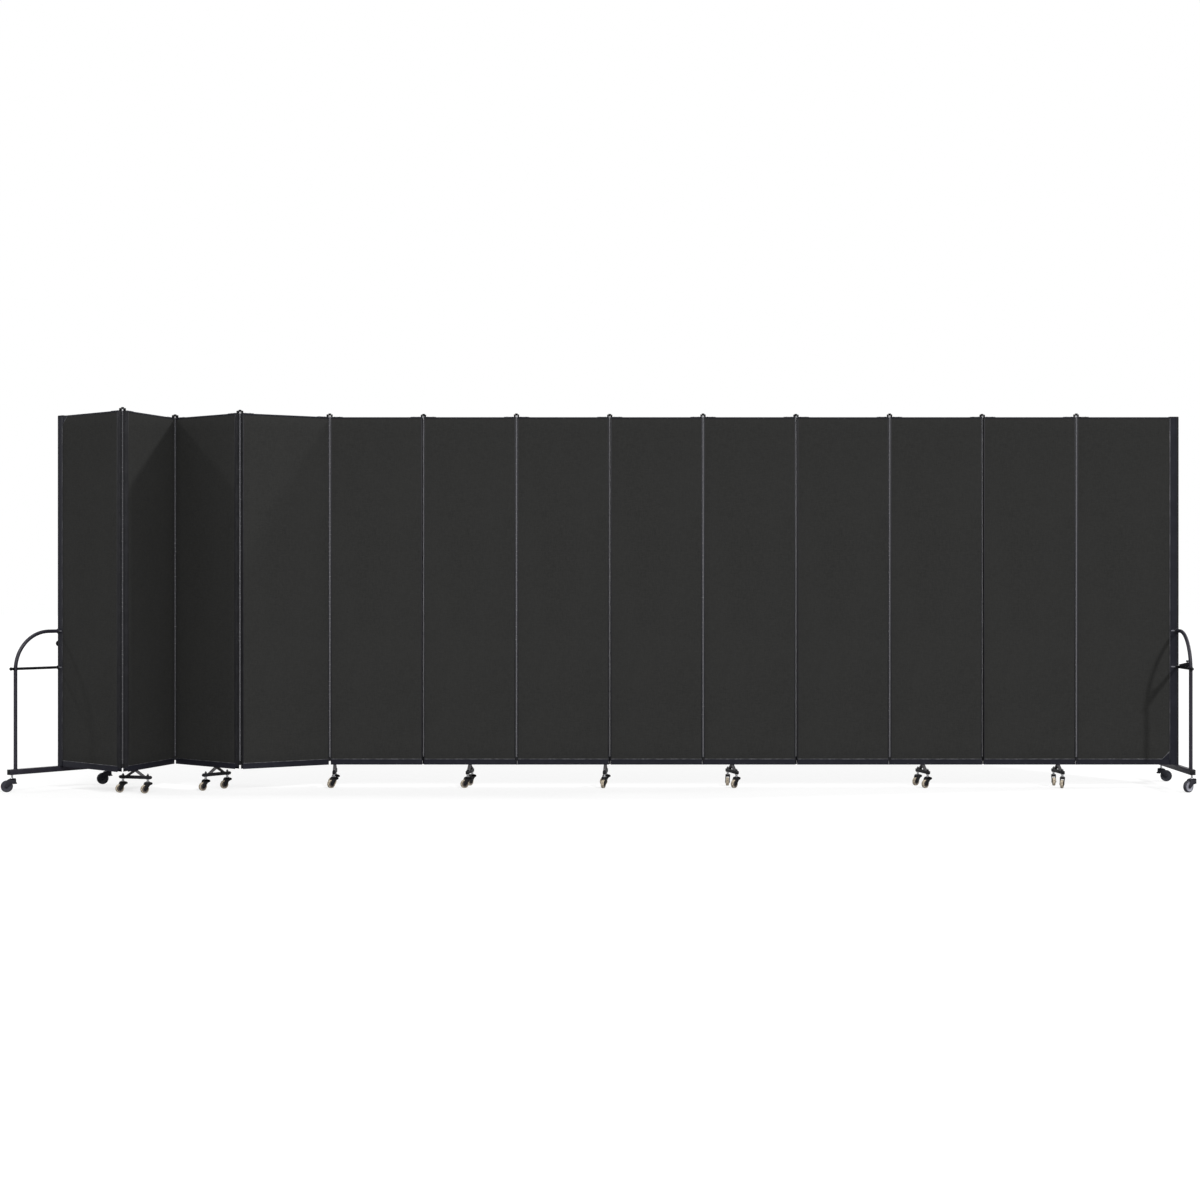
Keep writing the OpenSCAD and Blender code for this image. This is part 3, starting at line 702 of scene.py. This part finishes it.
collar_form = Form()
for z, bore in ((ARCH_Z, TUBE_R), (CROSSBAR_Z, CROSSBAR_R)):
    for way in (-1, 1):
        outer = bore + 0.003
        face = shift(0, way * 0.0173, z) @ quarter("X", -way)
        turn(collar_form, [(bore, 0.0), (outer - 0.0004, 0.0), (outer, 0.0005), (outer, 0.0052),
                           (outer - 0.0008, 0.0060), (bore, 0.0060)], 0, face, 28)
        # Grub screw on the upper outside of the collar
        grub = shift(0, way * 0.0203, z + outer - 0.0006)
        turn(collar_form, [(0.0021, 0), (0.0021, 0.0012), (0.0011, 0.0012), (0.0009, 0.0004),
                           (0, 0.0004)], 1, grub, 10)

# The saddle plate under each collar, on the post's face towards the panel. Its pale steel is partly
# a painted highlight, a light line across the post at each height
saddle_form = Form()
for z in (ARCH_Z, CROSSBAR_Z):
    for way in (-1, 1):
        near, far = sorted((way * 0.0168, way * 0.0192))
        bar(saddle_form, (-0.035, near, z - 0.004), (0.008, far, z + 0.004), 0.0008)

TUBE_PAINT = painted("glossy_tube_paint", (0.018, 0.0165, 0.024), 0.25, 0.30,
                     Specular_IOR_Level=0.25)
FRAME_COLLAR = painted("grey_collar_paint", (0.030, 0.030, 0.034), 0.4)
SADDLE_HIGHLIGHT_STEEL = steel("saddle_plate_painted_highlight", (0.16, 0.16, 0.18), 0.5, 0.4)
for body, side, swivel, twist in (("panel_01", "left", 1, HEADINGS[0]),
                                  ("panel_13", "right", 3, 0)):
    middle = (pivot(f"end_swivel_{swivel}") + pivot(f"end_swivel_{swivel + 1}")) / 2
    place = shift(*middle) @ Matrix.Rotation(math.radians(twist), 4, "Z")
    for word, form, finishes in (
            ("arch", arch_form, [TUBE_PAINT]),
            ("base_bar", base_form, [TUBE_PAINT, BLACK_PLASTIC]),
            ("crossbar", rod_form, [BRACKET_PAINT]),
            ("collars", collar_form, [FRAME_COLLAR, FRAME_PAINT]),
            ("saddles", saddle_form, [SADDLE_HIGHLIGHT_STEEL])):
        stands_for = (f"end_frame_{side}",) if word == "arch" else ()
        stand = place @ TURN_BACK if side == "left" and word == "saddles" else place
        show(f"end_frame_{side}_{word}", form, finishes, stand, body, "frame_tube", *stands_for)
right_frame_place = place


# ---------------------------------------------------------------- storage latch
# A long wedge-shaped steel lever with a black pull knob lies over the right frame's crossbar.
# It turns on a pin between two ears that are welded to the front leg.

LATCH_Y, LATCH_Z = 0.031 - LEG_Y, CROSSBAR_Z + 0.024     # the pin the lever turns on
LEVER_R, LEVER_TIP = 0.014, LATCH_Y + 0.205

lever = arc(LATCH_Y, LATCH_Z, LEVER_R, 90, 270, 20)
lever += [(LEVER_TIP, LATCH_Z - LEVER_R), (LEVER_TIP, LATCH_Z - 0.009),
          (LEVER_TIP - 0.008, LATCH_Z - 0.006), (LATCH_Y + 0.054, LATCH_Z + 0.009)]
latch_form = Form()
plate(latch_form, lever[::-1], -0.004, 0.004, 0, ACROSS, edge=0.0010)
# A rubber strip under the lever lies just over the crossbar
bar(latch_form, (-0.0035, LATCH_Y + 0.016, CROSSBAR_Z + CROSSBAR_R + 0.0005),
    (0.0035, LEVER_TIP - 0.005, LATCH_Z - 0.0135), 0.0004, 2)
knob = shift(0, LATCH_Y + 0.038, LATCH_Z + 0.005)
turn(latch_form, [(0.004, 0), (0.004, 0.0095)], 1, knob, 16)
turn(latch_form, [(0.0042, 0.0090), (0.0084, 0.0092), (0.0090, 0.0102), (0.0090, 0.0160),
                  (0.0080, 0.0182), (0.0054, 0.0189), (0, 0.0190)], 2, knob, 28)
LATCH_STEEL = steel("dark_plated_latch", (0.022, 0.022, 0.027), 0.5, 0.4)
show("storage_latch_lever", latch_form, [LATCH_STEEL, BRIGHT_STEEL, BLACK_PLASTIC],
     right_frame_place, "storage_latch", "latch", "storage_latch")

ear_form = Form()
ear_r = 0.009
ear = [(-LEG_Y + 0.004, LATCH_Z - ear_r)] + arc(LATCH_Y, LATCH_Z, ear_r, -90, 90, 15)
ear += [(-LEG_Y + 0.004, LATCH_Z + ear_r)]
for way in (-1, 1):
    near, far = sorted((way * 0.0046, way * 0.0074))
    plate(ear_form, ear, near, far, 0, ACROSS, edge=0.0006)
pin = shift(-0.0083, LATCH_Y, LATCH_Z) @ quarter("Y")
turn(ear_form, [(0, 0), (0.0030, 0.0001), (0.0042, 0.0006), (0.0042, 0.0010), (0.0029, 0.0011),
                (0.0029, 0.0155), (0.0042, 0.0156), (0.0042, 0.0160), (0.0030, 0.0165),
                (0, 0.0166)], 1, pin, 20)
show("storage_latch_ears", ear_form, [FRAME_PAINT, BRIGHT_STEEL], right_frame_place,
     "panel_13", "frame_tube")


# ---------------------------------------------------------------- feet
# Eight of the panels stand on a foot: a square bar across the run, with a ball plug in each
# end, hung from the bottom rail by a bent steel strap that spreads towards the bar.

FOOT_HALF, FOOT_W, FOOT_TOP = 0.100, 0.019, 0.102
foot_bar = Form()
bar(foot_bar, (-FOOT_W / 2, -FOOT_HALF, FOOT_TOP - FOOT_W), (FOOT_W / 2, FOOT_HALF, FOOT_TOP),
    0.0018, steps=3)
for way in (-1, 1):
    plug = shift(0, way * (FOOT_HALF - 0.001), FOOT_TOP - FOOT_W / 2) @ quarter("X", -way)
    turn(foot_bar, [(0.0093, 0), (0.0093, 0.0014)]
         + [(0.0090 * math.cos(math.radians(d)), 0.0015 + 0.0085 * math.sin(math.radians(d)))
            for d in range(0, 91, 15)], 1, plug, 24)

foot_strap = Form()
strap = [(-0.058, 0.1015), (-0.040, 0.1015), (0.0, 0.126), (0.040, 0.1015), (0.058, 0.1015),
         (0.058, 0.1030), (0.013, 0.1335), (-0.013, 0.1335), (-0.058, 0.1030)]
plate(foot_strap, strap, -0.0092, 0.0092, 0, ACROSS, edge=0.0012)
for way in (-1, 1):
    screw = shift(0, way * 0.048, 0.1062) @ Matrix.Rotation(way * -0.63, 4, "X")
    turn(foot_strap, [(0.0040, 0), (0.0038, 0.0012), (0.0026, 0.0022), (0, 0.0024)], 1, screw, 14)

FOOT_CASTERS = 16
STRAP_PAINT = painted("worn_grey_strap", (0.075, 0.072, 0.076), 0.5)
FOOT_PAINT = painted("black_foot_paint", (0.010, 0.010, 0.012), 0.5)
for n in range(1, FOOT_CASTERS, 2):
    front, rear = pivot(f"foot_swivel_{n:02d}"), pivot(f"foot_swivel_{n + 1:02d}")
    body = joints[f"foot_swivel_{n:02d}"]["parent"]
    along = rear - front
    twist = math.atan2(-along.x, along.y)
    place = shift(*(front + rear) / 2) @ Matrix.Rotation(twist, 4, "Z")
    foot = body.replace("panel", "foot")
    show(f"{foot}_bar", foot_bar, [FOOT_PAINT, BLACK_PLASTIC], place, body, "panel")
    show(f"{foot}_strap", foot_strap, [STRAP_PAINT, BRIGHT_STEEL], place, body, "panel")


# ---------------------------------------------------------------- foot casters
# Twin-cheek swivel casters under the feet: a black pressed hood over the wheel, a plated stem
# bolted through the bar, and a small wheel with a cream tread and brown-grey side faces.

def tyre(radius, width, bore, shoulder):
    """A tread with rounded shoulders round a wheel, from one side face to the other."""
    form = Form()
    half = width / 2
    side = arc(radius - shoulder, half - shoulder, shoulder, 0, 90, 18) + [(bore, half - 0.0006)]
    turn(form, [(r, -z) for r, z in side[::-1]] + [(radius, 0.0)] + side, 0, ALONG_Y, 48)
    return form


def hub_discs(radius, width):
    """Both side faces of a wheel: a dished disc between a rim and a boss."""
    form = Form()
    half = width / 2
    for way in (-1, 1):
        turn(form, [(radius + 0.0004, half - 0.0012), (radius, half - 0.0002),
                    (radius - 0.0018, half - 0.0003), (radius - 0.0032, half - 0.0022),
                    (0.0068, half - 0.0018), (0.0062, half - 0.0004), (0.0042, half - 0.0004)],
             0, quarter("X", -way), 40)
    return form


def rubber(name, colour, dirt):
    tread = Finish(name, Specular_IOR_Level=0.35)
    grime = tread.noise(0.006, 4)
    fine = tread.noise(0.0007, 2)
    tread.set(Base_Color=tread.mix(grime.between(0.42, 0.72) * 0.7, colour, dirt),
              Roughness=grime * 0.25 + 0.5)
    tread.bump(fine + grime, 0.00008, 0.5)
    return tread.material


SMALL_R, SMALL_W, SMALL_HUB_R, SMALL_TRAIL = 0.025, 0.018, 0.0195, 0.020
HOOD_Y, HOOD_WALL = 0.013, 0.003

crown = [(0.0215, 0.0535), (0.0190, 0.0610), (0.0150, 0.0650), (0.0100, 0.0670),
         (-0.0080, 0.0670), (-0.0180, 0.0642), (-0.0240, 0.0610), (-0.0240, 0.0535)]
hood = crown + [(-0.0240, 0.0520), (-0.0160, 0.0492), (-0.0080, 0.0460)]
hood += arc(SMALL_TRAIL, SMALL_R, 0.0095, -140, 20, 20)
fork_form = Form()
for near in (-HOOD_Y, HOOD_Y - HOOD_WALL):
    plate(fork_form, hood, near, near + HOOD_WALL, 0, edge=0.0007)
plate(fork_form, crown, -HOOD_Y, HOOD_Y, 0, edge=0.0016)
for way in (-1, 1):
    end = shift(SMALL_TRAIL, way * HOOD_Y, SMALL_R) @ quarter("X", -way)
    turn(fork_form, [(0.0052, 0), (0.0052, 0.0006), (0.0040, 0.0007), (0.0036, 0.0014),
                     (0, 0.0015)], 2, end, 12)
# Swivel, stem, washer and lock nut
turn(fork_form, [(0.0105, 0.0665), (0.0105, 0.0690), (0.0085, 0.0705), (0.0065, 0.0710),
                 (0.0065, 0.0800), (0.0100, 0.0802), (0.0100, 0.0826)], 1, sides=28)
turn(fork_form, [(0.0039, 0.080), (0.0039, 0.1145), (0.0033, 0.1150), (0, 0.1150)], 1, sides=20)
turn(fork_form, [(0.0070, 0.1022), (0.0070, 0.1026), (0.0040, 0.1027)], 1, sides=20)
nut = [(0.0040, 0.1025), (0.0068, 0.1025), (0.0075, 0.1032), (0.0075, 0.1087), (0.0068, 0.1094),
       (0.0040, 0.1094)]
turn(fork_form, nut, 2, sides=6)

small_tread = tyre(SMALL_R, SMALL_W, SMALL_HUB_R, 0.0045)
small_hub = hub_discs(SMALL_HUB_R, SMALL_W)

CREAM = rubber("cream_tread", (0.50, 0.43, 0.33), (0.15, 0.12, 0.095))
WHEEL_FACE = moulded("brown_grey_wheel_face", (0.095, 0.083, 0.076), 0.5)
HOOD_PAINT = painted("black_hood_paint", (0.009, 0.009, 0.010), 0.5)


def caster_place(swivel, spin):
    """The caster's own place: stem on Z, trailing along +X; and its wheel's place."""
    stem, axle = pivot(swivel), pivot(spin)
    trail = axle - stem
    place = shift(*stem) @ Matrix.Rotation(math.atan2(trail.y, trail.x), 4, "Z")
    return place, place @ shift(trail.length, 0, joints[spin]["pos_m"][2])


for n in range(1, FOOT_CASTERS + 1):
    place, wheel_place = caster_place(f"foot_swivel_{n:02d}", f"foot_wheel_spin_{n:02d}")
    fork, wheel = f"foot_caster_fork_{n:02d}", f"foot_caster_wheel_{n:02d}"
    show(f"foot_caster_{n:02d}_fork", fork_form, [HOOD_PAINT, BRIGHT_STEEL, FOOT_PAINT], place,
         fork, "foot_fork", fork)
    show(f"foot_caster_{n:02d}_tread", small_tread, [CREAM], wheel_place, wheel, "foot_wheel",
         wheel)
    show(f"foot_caster_{n:02d}_hub", small_hub, [WHEEL_FACE], wheel_place, wheel, "foot_wheel")


# ---------------------------------------------------------------- end casters
# Larger casters carry the two end frames. Their blue-grey forks turn on a bright stem under
# the base bar, the wheels have a grey tread, and a short pedal in front brakes each wheel.

BIG_R, BIG_W, BIG_HUB_R, BIG_TRAIL = 0.035, 0.022, 0.0275, 0.030
CHEEK_Y, CHEEK_WALL = 0.016, 0.0035
PEDAL_X, PEDAL_Z = -0.012, 0.060          # the pin the pedal turns on
roof = [(0.0252, 0.0725), (0.0240, 0.0750), (0.0160, 0.0790), (-0.0080, 0.0818),
        (-0.0180, 0.0800), (-0.0210, 0.0780), (-0.0214, 0.0725)]
cheek = roof + [(-0.0220, 0.0560), (-0.0205, 0.0540), (-0.0070, 0.0522)]
cheek += arc(BIG_TRAIL, BIG_R, 0.0105, -145, 20, 15)
big_fork = Form()
for near in (-CHEEK_Y, CHEEK_Y - CHEEK_WALL):
    plate(big_fork, cheek, near, near + CHEEK_WALL, 0, edge=0.0009)
plate(big_fork, roof, -CHEEK_Y, CHEEK_Y, 0, edge=0.0022)
for way in (-1, 1):
    # The axle's hexagon nut and the pedal pin's round head
    for x, z, r, sides in ((BIG_TRAIL, BIG_R, 0.0068, 6), (PEDAL_X, PEDAL_Z, 0.0038, 16)):
        turn(big_fork, [(r, 0), (r, 0.0007), (r * 0.8, 0.0010), (r * 0.7, 0.0018), (0, 0.0019)],
             0, shift(x, way * CHEEK_Y, z) @ quarter("X", -way), sides)
# Swivel and stem
turn(big_fork, [(0.0120, 0.0800), (0.0120, 0.0822), (0.0085, 0.0830), (0.0085, 0.0850),
                (0.0055, 0.0852), (0.0055, 0.1200)], 1, sides=32)

big_tread = tyre(BIG_R, BIG_W, BIG_HUB_R, 0.0055)
big_hub = hub_discs(BIG_HUB_R, BIG_W)

pedal_form = Form()
pedal = arc(PEDAL_X, PEDAL_Z, 0.0070, -30, 170, 20)
pedal += [(-0.0235, 0.0572), (-0.0272, 0.0547), (-0.0280, 0.0530), (-0.0279, 0.0505),
          (-0.0265, 0.0486), (-0.0240, 0.0484), (-0.0185, 0.0496), (-0.0125, 0.0467),
          (-0.0090, 0.0474), (-0.0062, 0.0550)]
plate(pedal_form, pedal, -0.011, 0.011, 0, edge=0.0010)
# Ribs across the pedal's nose
for n in range(3):
    x = -0.0238 - n * 0.0013
    z = 0.0570 - n * 0.0009
    bar(pedal_form, (x - 0.0004, -0.0095, z - 0.0006), (x + 0.0004, 0.0095, z + 0.0003), 0.0003)

GREY_TREAD = rubber("blue_grey_tread", (0.036, 0.037, 0.047), (0.020, 0.020, 0.026))
DARK_HUB = moulded("blue_grey_hub", (0.042, 0.043, 0.053), 0.5)
LIT_HUB = moulded("hub_painted_highlight", (0.26, 0.26, 0.30), 0.5)
FORK_PAINT = painted("blue_grey_fork_paint", (0.022, 0.022, 0.028), 0.4)

for n in range(1, 5):
    place, wheel_place = caster_place(f"end_swivel_{n}", f"end_wheel_spin_{n}")
    fork, wheel, brake = f"end_caster_fork_{n}", f"end_caster_wheel_{n}", f"brake_pedal_{n}"
    show(f"end_caster_{n}_fork", big_fork, [FORK_PAINT, BRIGHT_STEEL], place, fork, "end_fork",
         fork)
    show(f"end_caster_{n}_tread", big_tread, [GREY_TREAD], wheel_place, wheel, "end_wheel", wheel)
    # Wheel 3's pale hub is a painted highlight; the other hubs are the same part in blue-grey
    show(f"end_caster_{n}_hub", big_hub, [LIT_HUB if n == 3 else DARK_HUB], wheel_place, wheel,
         "end_wheel")
    show(f"end_caster_{n}_pedal", pedal_form, [BLACK_PLASTIC], place, brake, "pedal", brake)


# ---------------------------------------------------------------- floor, light and camera
# A plain white studio: a pale floor that takes a faint shadow, four soft lamps from the front
# and the sides, and a level camera far in front of the run.

floor_mesh = bpy.data.meshes.new("floor")
floor_mesh.from_pydata([(-60, -30, 0), (60, -30, 0), (60, 60, 0), (-60, 60, 0)], [],
                       [[0, 1, 2, 3]])
floor = bpy.data.objects.new("floor", floor_mesh)
bpy.context.scene.collection.objects.link(floor)
ground = Finish("white_floor", Roughness=0.9, Base_Color=(0.30, 0.30, 0.30, 1),
                Specular_IOR_Level=0.1, Emission_Color=(1, 1, 1, 1))
seen = ground.node("LightPath", out="Is Camera Ray")
glow = ground.node("Mix", {"data_type": "RGBA"},
                   {0: seen, 6: (0, 0, 0, 1), 7: (0.71, 0.71, 0.71, 1)}, out=2)
ground.join(ground.shader.inputs["Emission Color"], glow)
ground.shader.inputs["Emission Strength"].default_value = 1.0
floor_mesh.materials.append(ground.material)

world = bpy.data.worlds.new("studio")
bpy.context.scene.world = world
world.use_nodes = True
tree = world.node_tree
backdrop = tree.nodes["Background"]
path = tree.nodes.new("ShaderNodeLightPath")
either = tree.nodes.new("ShaderNodeMath")
any_of = tree.nodes.new("ShaderNodeMath")
either.operation = any_of.operation = "MAXIMUM"
tree.links.new(path.outputs["Is Camera Ray"], either.inputs[0])
tree.links.new(path.outputs["Is Glossy Ray"], either.inputs[1])
tree.links.new(either.outputs[0], any_of.inputs[0])
tree.links.new(path.outputs["Is Transmission Ray"], any_of.inputs[1])
# White where it is seen or mirrored, and dimmer as a light
level = tree.nodes.new("ShaderNodeMapRange")
tree.links.new(any_of.outputs[0], level.inputs["Value"])
level.inputs["To Min"].default_value = 0.36
level.inputs["To Max"].default_value = 1.0
tree.links.new(level.outputs[0], backdrop.inputs["Strength"])
backdrop.inputs["Color"].default_value = (1, 1, 1, 1)


def sun(name, azimuth, elevation, strength, softness):
    """A lamp that shines from an azimuth, 0 in front and 90 at the right, and an elevation."""
    lamp = bpy.data.lights.new(name, "SUN")
    lamp.energy, lamp.angle = strength, math.radians(softness)
    made = bpy.data.objects.new(name, lamp)
    bpy.context.scene.collection.objects.link(made)
    a, e = math.radians(azimuth), math.radians(elevation)
    back = Vector((math.sin(a) * math.cos(e), -math.cos(a) * math.cos(e), math.sin(e)))
    made.rotation_mode = "QUATERNION"
    made.rotation_quaternion = (-back).to_track_quat("-Z", "Y")


sun("key", 32, 35, 1.6, 4)
sun("front", -5, 30, 1.1, 20)
sun("left_fill", -92, 40, 0.7, 5)
sun("right_fill", 105, 36, 1.5, 5)

lens = bpy.data.cameras.new("camera")
lens.sensor_width, lens.lens = 36.0, 61.85
lens.shift_y = -20 / 1200        # eye level is 20 of the picture's 1200 px above its middle
lens.clip_start, lens.clip_end = 0.1, 300
camera = bpy.data.objects.new("camera", lens)
bpy.context.scene.collection.objects.link(camera)
camera.location = (-0.0056, -12.428, 1.252)
camera.rotation_euler = (math.radians(90), 0, 0)
bpy.context.scene.camera = camera
bpy.context.scene.view_settings.view_transform = "Standard"
